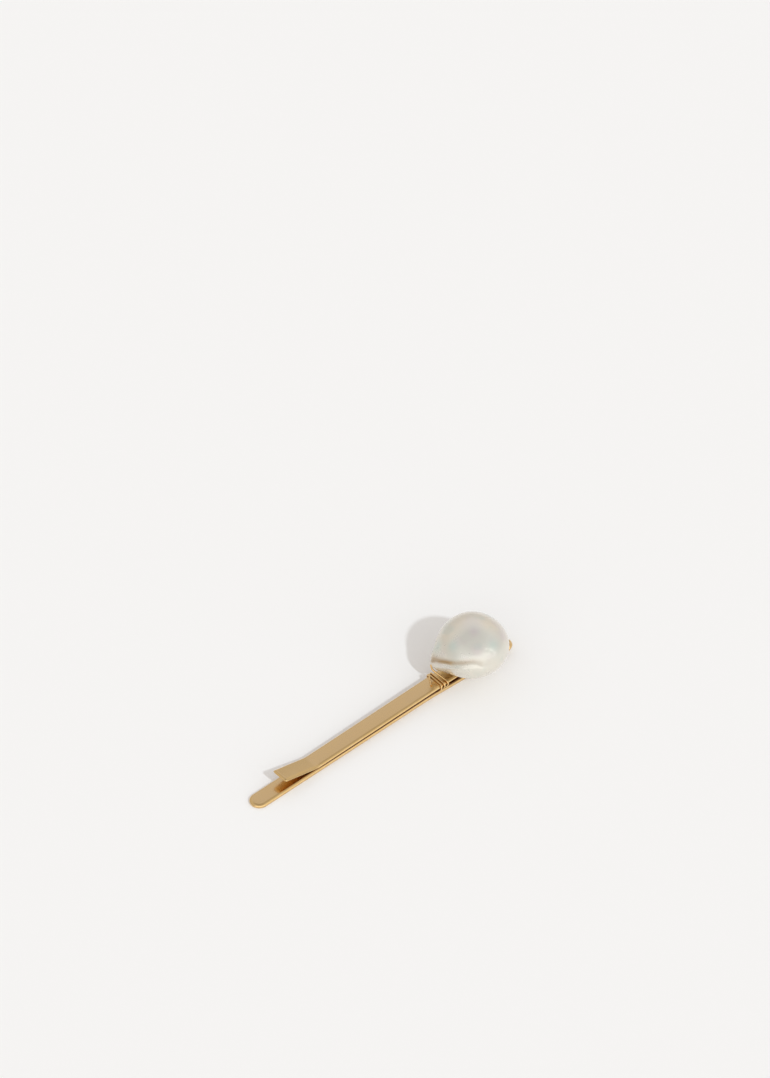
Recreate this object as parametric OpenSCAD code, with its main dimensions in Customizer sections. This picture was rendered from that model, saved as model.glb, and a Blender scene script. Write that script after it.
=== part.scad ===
// Decorative hair pin: a flat strip bent into a two-pronged grip, with a drilled baroque
// pearl bound on to the upper prong at its closed end by one thin wire.
// X runs along the pin towards its closed end, Y across the strip, Z up from the surface
// that the pin lies on. The pin rests on the tip of its lower prong and on its sprung loop.

/* [Strip] */
// Length from the closed end to the tip of the lower prong
pin_length = 60; // [52:1:75]
// Width of the flat strip
strip_width = 3.5; // [3:0.1:4.6]
// Thickness of the flat strip
strip_thickness = 0.7; // [0.5:0.05:0.85]
// How much shorter the upper prong is than the lower one
tip_step = 6.4; // [4:0.2:9]
// Corner radius at the end of the upper prong
end_corner = 0.5; // [0.2:0.05:1]

/* [Grip] */
// Clear gap between the prongs where they grip the hair
grip_gap = 0.06; // [0.04:0.01:0.2]
// Length of the upper prong from its end back to the grip point
flare_length = 8.3; // [6:0.1:11]
// Angle at which the open end of the upper prong flares up
flare_angle = 14; // [6:0.5:20]
// Radius of the bend at the grip point
grip_bend = 6; // [4:0.5:10]

/* [Closed end] */
// Outer height of the sprung loop
loop_height = 2.5; // [2.3:0.1:3.6]
// How far in front of the binding the lower prong starts to bow down to the loop
bow_lead = 4; // [3:0.5:6]
// Clear gap that the prongs' straight lines leave between them at the front binding
binding_gap = 0.2; // [0.12:0.01:0.24]

/* [Pearl] */
// Length of the pearl's oval body along the pin
pearl_length = 12.9; // [11:0.1:15.5]
// Width of the pearl's oval body across the pin
pearl_width = 13; // [11:0.1:15.6]
// Height of the pearl's oval body
pearl_height = 10.1; // [8.8:0.1:12]
// Distance of the pearl's middle from the closed end
pearl_setback = 9.5; // [9.2:0.1:11.5]
// How far the pearl's middle lies from the strip's middle, towards the near edge
pearl_overhang = 1.7; // [1.2:0.1:2]
// How far the pearl's drawn-out front tip reaches past the oval body
tip_reach = 2; // [1.4:0.1:2.4]
// How wide the tip is where it grows out of the body, as an angle from the middle
tip_spread = 19; // [17:1:24]
// How much the pearl swells over its crown, as a share of its radius
crown_swell = 0.045; // [0:0.005:0.06]
// How much the pearl swells low down in front, as a share of its radius
chin_swell = 0.05; // [0:0.005:0.06]
// Diameter of the hole drilled through the pearl
drill_diameter = 0.8; // [0.6:0.05:1]
// Height of the drilled hole above the upper prong
drill_height = 2.7; // [2.5:0.1:3.2]
// Offset of the drilled hole from the strip's middle, towards the far edge
drill_offset = 1.4; // [1:0.1:1.6]

/* [Wire] */
// Diameter of the binding wire
wire_diameter = 0.32; // [0.25:0.01:0.4]
// Turns of wire round the upper prong in front of the pearl
front_turns = 3; // [2:1:4]
// Turns of wire round the upper prong behind the pearl
rear_turns = 3; // [2:1:3]
// Gap left between one front turn and the next at the near edge, where they fan out
turn_gap = 0.44; // [0.1:0.02:0.5]

/* [Clearances] */
// Clearance of the wire round the strip, and of its turns from each other
wire_clearance = 0.02; // [0.01:0.005:0.04]
// Clearance between the pearl and the upper prong
seat_clearance = 0.02; // [0.01:0.01:0.05]

/* [Hidden] */
strip_colour = [0.76, 0.62, 0.38];
wire_colour = [0.83, 0.66, 0.38];
pearl_colour = [0.87, 0.85, 0.80];

half_width = strip_width / 2;
half_thick = strip_thickness / 2;
bend_steps = 6;      // straight pieces in each gentle bend of a prong
tip_steps = 12;      // straight pieces in the rounded tip
corner_steps = 4;    // straight pieces in each corner of the end, and of a turn of wire
wire_sides = 8;
pearl_rings = 20;
pearl_sides = 32;
trim = 2;            // how far a cutting shape reaches past what it cuts

// Strip, seen from the side. Its lower prong's straight underside lies on Z = 0 here, and
// the closed end is at X = 0.
wire_radius = wire_diameter / 2;
wrap_offset = wire_radius + wire_clearance;   // wire's middle to the strip's surface
loop_radius = loop_height / 2 - half_thick;   // along the strip's middle
loop_x = -loop_height / 2;
grip_x = tip_step + flare_length - pin_length;
binding_lead = 1.25;     // binding's reach in front of the pearl's oval body
front_x = -pearl_setback - pearl_length / 2 - binding_lead;
closing_angle = atan((binding_gap - grip_gap) / (front_x - grip_x));
grip_z = 1.5 * strip_thickness + grip_gap + grip_bend;  // centre of the bend at the grip
line_x = grip_x + grip_bend * sin(closing_angle);       // where that bend meets the prong
upper_z = grip_z - grip_bend * cos(closing_angle) - line_x * tan(closing_angle);
loop_z = upper_z + loop_x * tan(closing_angle) - loop_radius / cos(closing_angle);
// The bow curves down just sharply enough for the wire to pass between the prongs at the
// front binding, and then curves back to run level into the loop
bow_x = front_x - bow_lead;
bow_length = loop_x - bow_x;
bow_drop = half_thick - loop_z + loop_radius;
bow_angle = 2 * atan(bow_drop / bow_length);
bow_radii = bow_length / sin(bow_angle);
wire_room = wire_diameter + 2 * wire_clearance - binding_gap;
bow_down = bow_lead * bow_lead / wire_room / 2;
bow_back = bow_radii - bow_down;

// At rest the tip's underside and the underside of the bow's last arc both touch the surface
foot_radius = bow_back + half_thick;
tip_to_foot = [loop_x + pin_length, half_thick - bow_drop + bow_back];
rest_tilt = asin(foot_radius / norm(tip_to_foot)) - atan2(tip_to_foot[1], tip_to_foot[0]);
tilted_loop_x = (loop_x + pin_length) * cos(rest_tilt) - loop_z * sin(rest_tilt);
middle_x = (tilted_loop_x + loop_height / 2) / 2;

// Upper prong, in its own frame: X along it, Z = 0 in the middle of its thickness
upper_start = loop_x * cos(closing_angle) + (loop_z - upper_z) * sin(closing_angle);
grip_start = line_x / cos(closing_angle);
flare_turn = flare_angle + closing_angle;
flare_start = [grip_start - grip_bend * sin(flare_turn), grip_bend * (1 - cos(flare_turn))];
upper_end = tip_step - pin_length;
flare_run = (flare_start[0] - upper_end) / cos(flare_turn);

// Pearl and wire, in the upper prong's frame
pearl_half = [pearl_length, pearl_width, pearl_height] / 2;
pearl_middle = [-pearl_setback, -pearl_overhang, half_thick + seat_clearance + pearl_half[2]];
drill_z = half_thick + drill_height;
drill_from_middle = [drill_offset - pearl_middle[1], drill_z - pearl_middle[2]];
body_share = 1 - pow(drill_from_middle[0] / pearl_half[1], 2)
               - pow(drill_from_middle[1] / pearl_half[2], 2);
body_reach = pearl_half[0] * sqrt(body_share);  // oval body's reach along the drilled hole
front_mouth = pearl_middle[0] - body_reach - tip_reach;
rear_mouth = pearl_middle[0] + body_reach;
tip_point = [front_mouth, drill_offset, drill_z] - pearl_middle;
tip_pull = norm(tip_point) / body_radius(tip_point / norm(tip_point)) - 1;
crown_peak = [0.35, 0.45, 0.82];   // directions in which the pearl swells
chin_peak = [-0.86, 0, -0.5];
swell_spread = 30;
wire_lead = 0.1;         // straight wire outside each mouth of the hole
riser_bend = 0.25;       // radius at which the wire turns down from the hole
riser_drop = 1;          // height of the hole above the wire's bend in front of the pearl
riser_lean = 0.3;        // how far that bend stands nearer than the hole
tail_slant = 1.3;        // how far a cut end of the wire runs along the strip
tail_reach = 0.6;        // how far it lies beyond the strip's middle
front_cut = front_mouth - wire_lead;
rear_cut = rear_mouth + wire_lead;
rear_x = rear_cut + riser_bend;   // rearmost turn of the rear binding

function unit(v) = v / norm(v);
function body_radius(d) =
    1 / norm([d[0] / pearl_half[0], d[1] / pearl_half[1], d[2] / pearl_half[2]]);
function swell(d, peak, spread) =
    let (away = acos(max(-1, min(1, d * unit(peak)))) / spread) exp(-away * away);
function pearl_radius(d) =
    body_radius(d) * (1 + tip_pull * swell(d, tip_point, tip_spread)
        + crown_swell * swell(d, crown_peak, swell_spread)
        + chin_swell * swell(d, chin_peak, swell_spread));

// Points of an arc about a centre, from one angle to another
function arc(centre, radius, from, to, steps) = [
    for (i = [0:steps])
        let (a = from + (to - from) * i / steps)
        centre + radius * [cos(a), sin(a)]
];

// ---- Bent strip ----

// Closed outline of a strip of the given thickness along the arcs of one prong, seen from
// the side: out along its upper face and back along its lower face
module prong(side_outline, plan_outline) {
    intersection() {
        rotate([90, 0, 0])
            linear_extrude(height = strip_width + trim, center = true)
                polygon(side_outline);
        linear_extrude(height = 2 * loop_height + 2 * trim, center = true)
            polygon(plan_outline);
    }
}

function reversed(list) = [for (i = [len(list) - 1:-1:0]) list[i]];

// The bow's two arcs, offset from the strip's middle to one of its faces
function bow(face) = concat(
    arc([bow_x, half_thick - bow_down], bow_down + face, 90, 90 - bow_angle, bend_steps),
    arc([loop_x, half_thick - bow_drop + bow_back], bow_back - face,
        270 - bow_angle, 270, bend_steps)
);

module lower_prong() {
    tip_radius = half_width;
    color(strip_colour)
        resting()
            prong(
                concat([[-pin_length, strip_thickness]], bow(half_thick),
                       reversed(bow(-half_thick)), [[-pin_length, 0]]),
                concat([[trim, half_width]],
                       arc([tip_radius - pin_length, 0], tip_radius, 90, 270, tip_steps),
                       [[trim, -half_width]])
            );
}

module spring_bend() {
    color(strip_colour)
        resting()
            translate([loop_x, 0, loop_z])
                rotate([90, 0, 0])
                    rotate_extrude(angle = 180 + closing_angle, start = -90, $fn = 96)
                        translate([loop_radius - half_thick, -half_width])
                            square([strip_thickness, strip_width]);
}

// The face's arc at the grip, and the flare's end beyond it
function flare(face) = concat(
    arc([grip_start, grip_bend], grip_bend - face, 270, 270 - flare_turn, bend_steps),
    [flare_start + face * [sin(flare_turn), cos(flare_turn)]
        + flare_run * [-cos(flare_turn), sin(flare_turn)]]
);

module upper_prong() {
    corner_x = upper_end + end_corner;
    corner_y = half_width - end_corner;
    color(strip_colour)
        resting()
            on_upper()
                prong(
                    concat([[upper_start, half_thick]], flare(half_thick),
                           reversed(flare(-half_thick)), [[upper_start, -half_thick]]),
                    concat([[trim, half_width]],
                           arc([corner_x, corner_y], end_corner, 90, 180, corner_steps),
                           arc([corner_x, -corner_y], end_corner, 180, 270, corner_steps),
                           [[trim, -half_width]])
                );
}

// ---- Pearl ----

// Directions from the pearl's middle, ring by ring from its front tip to its back
tip_axis = unit(tip_point);
tip_side = unit(cross(tip_axis, [0, 0, 1]));
tip_up = cross(tip_side, tip_axis);
function pearl_point(ring, side) =
    let (from_tip = 180 * ring / pearl_rings, round = 360 * side / pearl_sides,
         d = cos(from_tip) * tip_axis
             + sin(from_tip) * (cos(round) * tip_side + sin(round) * tip_up))
    pearl_middle + pearl_radius(d) * d;

module pearl_body() {
    last = (pearl_rings - 1) * pearl_sides;
    function at(ring, side) = (ring - 1) * pearl_sides + side % pearl_sides;
    points = concat(
        [for (ring = [1:pearl_rings - 1], side = [0:pearl_sides - 1]) pearl_point(ring, side)],
        [pearl_point(0, 0), pearl_point(pearl_rings, 0)]
    );
    polyhedron(points, concat(
        [for (side = [0:pearl_sides - 1]) [last, at(1, side), at(1, side + 1)]],
        [for (ring = [1:pearl_rings - 2], side = [0:pearl_sides - 1])
            [at(ring, side), at(ring + 1, side), at(ring + 1, side + 1)]],
        [for (ring = [1:pearl_rings - 2], side = [0:pearl_sides - 1])
            [at(ring, side), at(ring + 1, side + 1), at(ring, side + 1)]],
        [for (side = [0:pearl_sides - 1])
            [last + 1, at(pearl_rings - 1, side + 1), at(pearl_rings - 1, side)]]
    ));
}

module pearl() {
    color(pearl_colour)
        resting()
            on_upper()
                difference() {
                    pearl_body();
                    translate([front_mouth - trim, drill_offset, drill_z])
                        rotate([0, 90, 0])
                            cylinder(h = rear_mouth - front_mouth + 2 * trim,
                                     d = drill_diameter, $fn = 32);
                }
}

// ---- Wire ----

// A round tube along a list of points, its sides carried along without twisting
function tangent(p, i) = unit(p[min(i + 1, len(p) - 1)] - p[max(i - 1, 0)]);
function carried(p, side, i = 0) =
    i == len(p) ? [] :
    let (t = tangent(p, i), s = unit(side - (side * t) * t))
    concat([s], carried(p, s, i + 1));

module tube(p) {
    across = carried(p, [0.9, 0.3, 0.31]);
    rings = len(p);
    function at(ring, side) = ring * wire_sides + side % wire_sides;
    points = [
        for (ring = [0:rings - 1], side = [0:wire_sides - 1])
            let (a = 360 * side / wire_sides, s = across[ring], u = cross(tangent(p, ring), s))
            p[ring] + wire_radius * (cos(a) * s + sin(a) * u)
    ];
    polyhedron(points, concat(
        [[for (side = [0:wire_sides - 1]) side]],
        [for (ring = [0:rings - 2], side = [0:wire_sides - 1])
            [at(ring, side), at(ring + 1, side), at(ring + 1, side + 1)]],
        [for (ring = [0:rings - 2], side = [0:wire_sides - 1])
            [at(ring, side), at(ring + 1, side + 1), at(ring, side + 1)]],
        [[for (side = [wire_sides - 1:-1:0]) at(rings - 1, side)]]
    ));
}

// One corner of a turn round the strip: the strip's corner, and the angles about it
corners = [
    [[half_width, -half_thick], 0],
    [[-half_width, -half_thick], -90],
    [[-half_width, half_thick], -180],
    [[half_width, half_thick], -270]
];
corner_points = corner_steps + 1;
turn_points = 4 * corner_points;

// A point of a turn that starts at the far edge, goes under the strip to the near edge and
// comes back over it. Its place along the prong runs from far_x by near_x to next_x.
function turn_point(i, far_x, near_x, next_x) =
    let (corner = corners[floor(i / corner_points)],
         a = corner[1] - 90 * (i % corner_points) / corner_steps,
         share = 2 * i / (turn_points - 1),
         x = share < 1 ? far_x + (near_x - far_x) * share
                       : near_x + (next_x - near_x) * (share - 1))
    [x, corner[0][0] + wrap_offset * cos(a), corner[0][1] + wrap_offset * sin(a)];

turn_pitch = wire_diameter + 2 * wire_clearance;
function far_crossing(k) = front_x + wire_radius + k * turn_pitch;
function near_crossing(k) = front_x + k * (turn_pitch + turn_gap);

over_z = half_thick + wrap_offset;   // middle of a wire that lies on the strip
half_turn = 3 * corner_points - 1;   // points of a turn up to the near edge's top corner

// A bend of the wire round a point on its way between two others, and how far it reaches
function bend(before, point, after, reach) = [
    for (t = [0:0.25:1])
        point + reach * ((1 - t) * (1 - t) * unit(before - point) + t * t * unit(after - point))
];

// The last turn's end at the near edge, from which the wire climbs to its bend below the
// hole's front mouth
last_near = [near_crossing(front_turns - 1), -half_width, over_z];
front_bend = [front_cut - riser_bend, drill_offset - riser_lean, drill_z - riser_drop];
front_riser = concat(
    bend(last_near, front_bend, front_bend + [0, riser_lean, riser_drop], riser_bend),
    [for (a = [75:-15:0])
        [front_cut - riser_bend * sin(a), drill_offset, drill_z - riser_bend * (1 - cos(a))]]
);

// The wire's cut end on the upper face, and its way over the far edge into the first turn
front_tail = concat(
    [[far_crossing(0) - tail_slant, -tail_reach, over_z]],
    [for (a = [90:-90 / corner_steps:1])
        [far_crossing(0), half_width + wrap_offset * cos(a), half_thick + wrap_offset * sin(a)]]
);

module front_binding() {
    color(wire_colour)
        resting()
            on_upper()
                tube(concat(
                    front_tail,
                    [for (k = [0:front_turns - 2], i = [0:turn_points - 1])
                        turn_point(i, far_crossing(k), near_crossing(k), far_crossing(k + 1))],
                    [for (i = [0:half_turn])
                        turn_point(i, far_crossing(front_turns - 1),
                                   near_crossing(front_turns - 1),
                                   near_crossing(front_turns - 1))],
                    front_riser
                ));
}

// The wire inside the pearl, straight from one mouth of the hole past the other
module pearl_wire() {
    color(wire_colour)
        resting()
            on_upper()
                translate([front_cut, drill_offset, drill_z])
                    rotate([0, 90, 0])
                        cylinder(h = rear_cut - front_cut, r = wire_radius, $fn = 32);
}

function rear_crossing(k) = rear_x - k * turn_pitch;

// Wire from the hole's rear mouth, turned down to the far edge of the strip
rear_riser = concat(
    [for (a = [0:22.5:90])
        [rear_cut + riser_bend * sin(a), drill_offset, drill_z - riser_bend * (1 - cos(a))]],
    [[rear_x, half_width + wrap_offset, half_thick]]
);

// The wire's cut end on the upper face, behind its last turn
rear_tail = [rear_crossing(rear_turns) - tail_slant / 2, tail_reach, over_z];

module rear_binding() {
    color(wire_colour)
        resting()
            on_upper()
                tube(concat(
                    rear_riser,
                    [for (k = [0:rear_turns - 2], i = [0:turn_points - 1])
                        turn_point(i, rear_crossing(k), rear_crossing(k + 0.5),
                                   rear_crossing(k + 1))],
                    [for (i = [0:half_turn])
                        turn_point(i, rear_crossing(rear_turns - 1),
                                   rear_crossing(rear_turns - 0.5),
                                   rear_crossing(rear_turns - 0.5))],
                    [rear_tail]
                ));
}

// ---- Placing ----

// From the upper prong's own frame to the strip's
module on_upper() {
    translate([0, 0, upper_z])
        rotate([0, -closing_angle, 0])
            children();
}

// From the strip's frame to the surface, with the origin under the middle of the whole pin
module resting() {
    translate([-middle_x, pearl_overhang, 0])
        rotate([0, -rest_tilt, 0])
            translate([pin_length, 0, 0])
                children();
}

lower_prong();
spring_bend();
upper_prong();
pearl();
front_binding();
pearl_wire();
rear_binding();
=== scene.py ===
"""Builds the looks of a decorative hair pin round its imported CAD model.

The pin is a flat gilt strip bent into two prongs that spring together, with a drilled
baroque pearl bound on to the upper prong by one thin wire. Everything is in metres, in the
CAD model's own frame: X along the pin towards its closed end, Y across it, Z up.
"""

import math

import bmesh
import bpy
import numpy as np
from bpy.props import FloatProperty, FloatVectorProperty, IntProperty, PointerProperty
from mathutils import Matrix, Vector


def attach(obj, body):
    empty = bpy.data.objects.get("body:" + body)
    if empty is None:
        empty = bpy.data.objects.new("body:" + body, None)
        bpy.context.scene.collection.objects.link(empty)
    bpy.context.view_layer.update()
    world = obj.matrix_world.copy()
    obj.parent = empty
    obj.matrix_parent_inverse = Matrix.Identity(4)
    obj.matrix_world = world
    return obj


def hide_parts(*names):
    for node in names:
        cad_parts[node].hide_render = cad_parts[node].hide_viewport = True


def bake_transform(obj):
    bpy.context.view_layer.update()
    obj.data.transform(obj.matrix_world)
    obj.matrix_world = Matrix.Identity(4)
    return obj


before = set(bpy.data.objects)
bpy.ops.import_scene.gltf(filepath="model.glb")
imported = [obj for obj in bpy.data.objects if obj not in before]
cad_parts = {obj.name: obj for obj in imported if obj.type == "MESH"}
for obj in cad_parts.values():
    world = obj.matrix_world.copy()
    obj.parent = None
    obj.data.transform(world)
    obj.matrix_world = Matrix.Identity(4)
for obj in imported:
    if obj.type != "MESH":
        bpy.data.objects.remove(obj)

bl_info = {
    "name": "Pearl Hair Pin",
    "version": (1, 0, 0),
    "blender": (4, 5, 0),
    "location": "View3D > Sidebar > Hair Pin",
    "description": "Builds a gilt hair pin with a wire-bound baroque pearl",
    "category": "Add Mesh",
}

LOWER = "lower_half"
UPPER = "upper_half"


def length(name, description, default):
    """A length that the user can change."""
    return FloatProperty(
        name=name, description=description, default=default, min=0.0, unit="LENGTH", precision=5
    )


def colour(name, description, default):
    """A colour that the user can change."""
    return FloatVectorProperty(
        name=name, description=description, default=default, min=0.0, max=1.0, subtype="COLOR"
    )


def angle(name, description, degrees):
    """An angle that the user can change, with its default in degrees."""
    return FloatProperty(
        name=name, description=description, default=math.radians(degrees), subtype="ANGLE"
    )


def amount(name, description, default, **limits):
    """A plain number that the user can change."""
    return FloatProperty(name=name, description=description, default=default, **limits)


# ---- Sizes and colours ----


class HairPinStrip(bpy.types.PropertyGroup):
    """Sizes and finish of the bent strip."""

    pin_length: length("Pin Length", "From the closed end to the lower prong's tip", 0.060)
    width: length("Width", "Width of the flat strip", 0.0035)
    thickness: length("Thickness", "Thickness of the flat strip", 0.0007)
    edge_roll: length("Edge Roll", "Radius of the rolled edges", 0.00007)
    crown_tilt: angle("Crown Tilt", "How far the faces have turned where the roll starts", 58)
    tip_step: length("Tip Step", "How much shorter the upper prong is", 0.0064)
    end_corner: length("End Corner", "Corner radius at the upper prong's end", 0.0005)
    grip_gap: length("Grip Gap", "Gap between the prongs where they grip", 0.00006)
    flare_length: length("Flare Length", "From the upper prong's end to the grip", 0.0083)
    flare_angle: angle("Flare Angle", "How far the open end turns up", 14)
    grip_bend: length("Grip Bend", "Radius of the bend at the grip", 0.006)
    loop_height: length("Loop Height", "Outer height of the sprung loop", 0.0025)
    bow_lead: length("Bow Lead", "Bow's start in front of the binding", 0.004)
    binding_gap: length("Binding Gap", "Gap of the prongs' lines at the binding", 0.0002)
    gold: colour("Gold", "Colour of the gilding", (0.735, 0.480, 0.180))
    worn_gold: colour("Worn Gold", "Colour of the gilding where it is rubbed", (0.79, 0.55, 0.26))
    roughness: amount("Roughness", "Roughness of the polished strip", 0.17, min=0, max=1)


class HairPinPearl(bpy.types.PropertyGroup):
    """Sizes and finish of the pearl."""

    oval_length: length("Length", "Length of the oval body along the pin", 0.0129)
    oval_width: length("Width", "Width of the oval body across the pin", 0.0130)
    oval_height: length("Height", "Height of the oval body", 0.0101)
    setback: length("Setback", "Pearl's middle to the closed end", 0.0095)
    overhang: length("Overhang", "Pearl's middle to the strip's middle", 0.0017)
    tip_reach: length("Tip Reach", "Reach of the drawn-out tip past the body", 0.0020)
    tip_spread: angle("Tip Spread", "Width of the tip where it grows out of the body", 19)
    drill_diameter: length("Drill Diameter", "Diameter of the drilled hole", 0.0008)
    drill_height: length("Drill Height", "Hole above the upper prong", 0.0027)
    drill_offset: length("Drill Offset", "Hole to the strip's middle", 0.0014)
    seat: length("Seat", "Clearance between pearl and prong", 0.00002)
    rings: IntProperty(name="Rings", description="Rings of the pearl's mesh", default=150, min=20)
    nacre: colour("Nacre", "Main colour of the nacre", (0.68, 0.635, 0.545))
    cream: colour("Cream", "Warm patches of the nacre", (0.76, 0.66, 0.52))
    # Mist is also the colour of the painted shade on the pearl's middle and right side
    mist: colour("Mist", "Cool patches of the nacre", (0.55, 0.55, 0.50))
    roughness: amount("Roughness", "Roughness of the nacre", 0.26, min=0, max=1)


class HairPinWire(bpy.types.PropertyGroup):
    """Sizes and finish of the binding wire."""

    diameter: length("Diameter", "Diameter of the wire", 0.00032)
    clearance: length("Clearance", "Clearance of the wire round the strip", 0.00002)
    front_turns: IntProperty(name="Front Turns", description="Turns before the pearl", default=3)
    rear_turns: IntProperty(name="Rear Turns", description="Turns behind the pearl", default=3)
    turn_gap: length("Turn Gap", "Gap between front turns at the near edge", 0.00044)
    binding_lead: length("Binding Lead", "Front turns' reach before the oval body", 0.00125)
    sides: IntProperty(name="Sides", description="Sides of the wire's section", default=14, min=6)
    gold: colour("Gold", "Colour of the wire", (0.80, 0.52, 0.20))
    roughness: amount("Roughness", "Roughness of the wire", 0.12, min=0, max=1)


class HairPinStage(bpy.types.PropertyGroup):
    """Floor, lights and camera."""

    floor_colour: colour("Floor", "Colour of the floor", (0.745, 0.745, 0.745))
    glow_colour: colour("Floor Glow Colour", "Colour of the floor's own light", (1.0, 0.86, 0.70))
    floor_glow: amount("Floor Glow", "Light that the floor gives off", 0.16, min=0)
    sky: amount("Sky", "Strength of the even light", 0.74, min=0)
    panel: amount("Panel", "Extra strength of the bright wall on the near side", 0.8)
    key: amount("Key", "Strength of the key light", 1.3, min=0)
    key_spread: angle("Key Spread", "Apparent size of the key light", 3)
    azimuth: angle("Azimuth", "Heading of the camera's view from the Y axis", 41.645)
    elevation: angle("Elevation", "How far down the camera looks", 45.138)
    distance: length("Distance", "From the camera to the point it is aimed at", 2.5)
    lens: amount("Lens", "Focal length in millimetres", 467.9)


# ---- Layout ----


def unit(v):
    """A vector of the same direction and length one."""
    return np.asarray(v, float) / np.linalg.norm(v)


class Path:
    """A line seen from the side, made of straight pieces and arcs, followed by its length."""

    def __init__(self, start, heading, pieces):
        self.start, self.heading, self.pieces = start, heading, pieces
        self.length = sum(p[0] for p in pieces)

    def at(self, s):
        """(x, z, heading) at distance s along the line."""
        (x, z), h = self.start, self.heading
        for run, curvature in self.pieces:
            d = min(s, run)
            if curvature:
                x += (math.sin(h + curvature * d) - math.sin(h)) / curvature
                z -= (math.cos(h + curvature * d) - math.cos(h)) / curvature
                h += curvature * d
            else:
                x += d * math.cos(h)
                z += d * math.sin(h)
            s -= d
            if s <= 0:
                break
        return x, z, h

    def stations(self, straight, curved):
        """Distances at which to put a row of points, closer where the line bends."""
        marks, done = [0.0], 0.0
        for run, curvature in self.pieces:
            steps = max(1, math.ceil(run / (curved if curvature else straight)))
            marks += [done + run * (i + 1) / steps for i in range(steps)]
            done += run
        return marks


class Layout:
    """Where everything lies, worked out from the sizes as the CAD model does."""

    def __init__(self, scene):
        strip, pearl, wire = scene.hairpin_strip, scene.hairpin_pearl, scene.hairpin_wire
        self.strip, self.pearl, self.wire = strip, pearl, wire
        self.half_width, self.half_thick = strip.width / 2, strip.thickness / 2
        self.loop_radius = strip.loop_height / 2 - self.half_thick
        self.loop_x = -strip.loop_height / 2
        grip_x = strip.tip_step + strip.flare_length - strip.pin_length
        self.front_x = -pearl.setback - pearl.oval_length / 2 - wire.binding_lead
        self.closing = math.atan((strip.binding_gap - strip.grip_gap) / (self.front_x - grip_x))
        bend, closing = strip.grip_bend, self.closing
        line_x = grip_x + bend * math.sin(closing)
        grip_z = 1.5 * strip.thickness + strip.grip_gap + bend
        self.upper_z = grip_z - bend * math.cos(closing) - line_x * math.tan(closing)
        self.loop_z = (
            self.upper_z + self.loop_x * math.tan(closing) - self.loop_radius / math.cos(closing)
        )
        self.upper_start = self.loop_x * math.cos(closing) + (
            self.loop_z - self.upper_z
        ) * math.sin(closing)
        self.grip_start = line_x / math.cos(closing)
        self._bow()
        self._rest()
        self._pearl()

    def _bow(self):
        """The lower prong's bow, which makes room for the wire and meets the loop."""
        strip, wire = self.strip, self.wire
        self.bow_x = self.front_x - strip.bow_lead
        bow_length = self.loop_x - self.bow_x
        self.bow_drop = self.half_thick - self.loop_z + self.loop_radius
        self.bow_angle = 2 * math.atan(self.bow_drop / bow_length)
        wire_room = wire.diameter + 2 * wire.clearance - strip.binding_gap
        self.bow_down = strip.bow_lead**2 / wire_room / 2
        self.bow_back = bow_length / math.sin(self.bow_angle) - self.bow_down

    def _rest(self):
        """The tilt at which the pin lies on its lower tip and its bow."""
        strip = self.strip
        foot = self.bow_back + self.half_thick
        across = self.loop_x + strip.pin_length
        up = self.half_thick - self.bow_drop + self.bow_back
        self.tilt = math.asin(foot / math.hypot(across, up)) - math.atan2(up, across)
        tilted = across * math.cos(self.tilt) - self.loop_z * math.sin(self.tilt)
        self.middle_x = (tilted + strip.loop_height / 2) / 2

    def _pearl(self):
        """The pearl's middle and its drilled hole, in the upper prong's frame."""
        pearl = self.pearl
        self.oval = np.array([pearl.oval_length, pearl.oval_width, pearl.oval_height]) / 2
        self.pearl_middle = np.array(
            [-pearl.setback, -pearl.overhang, self.half_thick + pearl.seat + self.oval[2]]
        )
        self.drill_y, self.drill_z = pearl.drill_offset, self.half_thick + pearl.drill_height
        aside = (self.drill_y - self.pearl_middle[1]) / self.oval[1]
        below = (self.drill_z - self.pearl_middle[2]) / self.oval[2]
        reach = self.oval[0] * math.sqrt(1 - aside**2 - below**2)
        self.front_mouth = self.pearl_middle[0] - reach - pearl.tip_reach
        self.rear_mouth = self.pearl_middle[0] + reach
        self.tip = np.array([self.front_mouth, self.drill_y, self.drill_z]) - self.pearl_middle

    def lower_path(self):
        """Middle of the lower prong, from the loop to its tip."""
        return Path(
            (self.loop_x, self.loop_z - self.loop_radius),
            math.pi,
            [
                (self.bow_back * self.bow_angle, -1 / self.bow_back),
                (self.bow_down * self.bow_angle, 1 / self.bow_down),
                (self.bow_x + self.strip.pin_length, 0),
            ],
        )

    def loop_path(self):
        """Middle of the sprung loop, from the lower prong to the upper one."""
        return Path(
            (self.loop_x, self.loop_z - self.loop_radius),
            0.0,
            [(self.loop_radius * (math.pi + self.closing), 1 / self.loop_radius)],
        )

    def upper_path(self):
        """Middle of the upper prong in its own frame, from the loop to its open end."""
        bend, turn = self.strip.grip_bend, self.strip.flare_angle + self.closing
        flare_x = self.grip_start - bend * math.sin(turn)
        upper_end = self.strip.tip_step - self.strip.pin_length
        return Path(
            (self.upper_start, 0.0),
            math.pi,
            [
                (self.upper_start - self.grip_start, 0),
                (bend * turn, -1 / bend),
                ((flare_x - upper_end) / math.cos(turn), 0),
            ],
        )

    def from_upper(self, points):
        """Points in the upper prong's frame, put into the strip's."""
        x, y, z = np.asarray(points, float).T
        c, s = math.cos(self.closing), math.sin(self.closing)
        return np.stack([x * c - z * s, y, self.upper_z + x * s + z * c], 1)

    def resting(self, points):
        """Points in the strip's frame, put where the pin lies on the surface."""
        x, y, z = np.asarray(points, float).T
        x = x + self.strip.pin_length
        c, s = math.cos(self.tilt), math.sin(self.tilt)
        return np.stack([x * c - z * s - self.middle_x, y + self.pearl.overhang, x * s + z * c], 1)


# ---- Meshes ----


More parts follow.
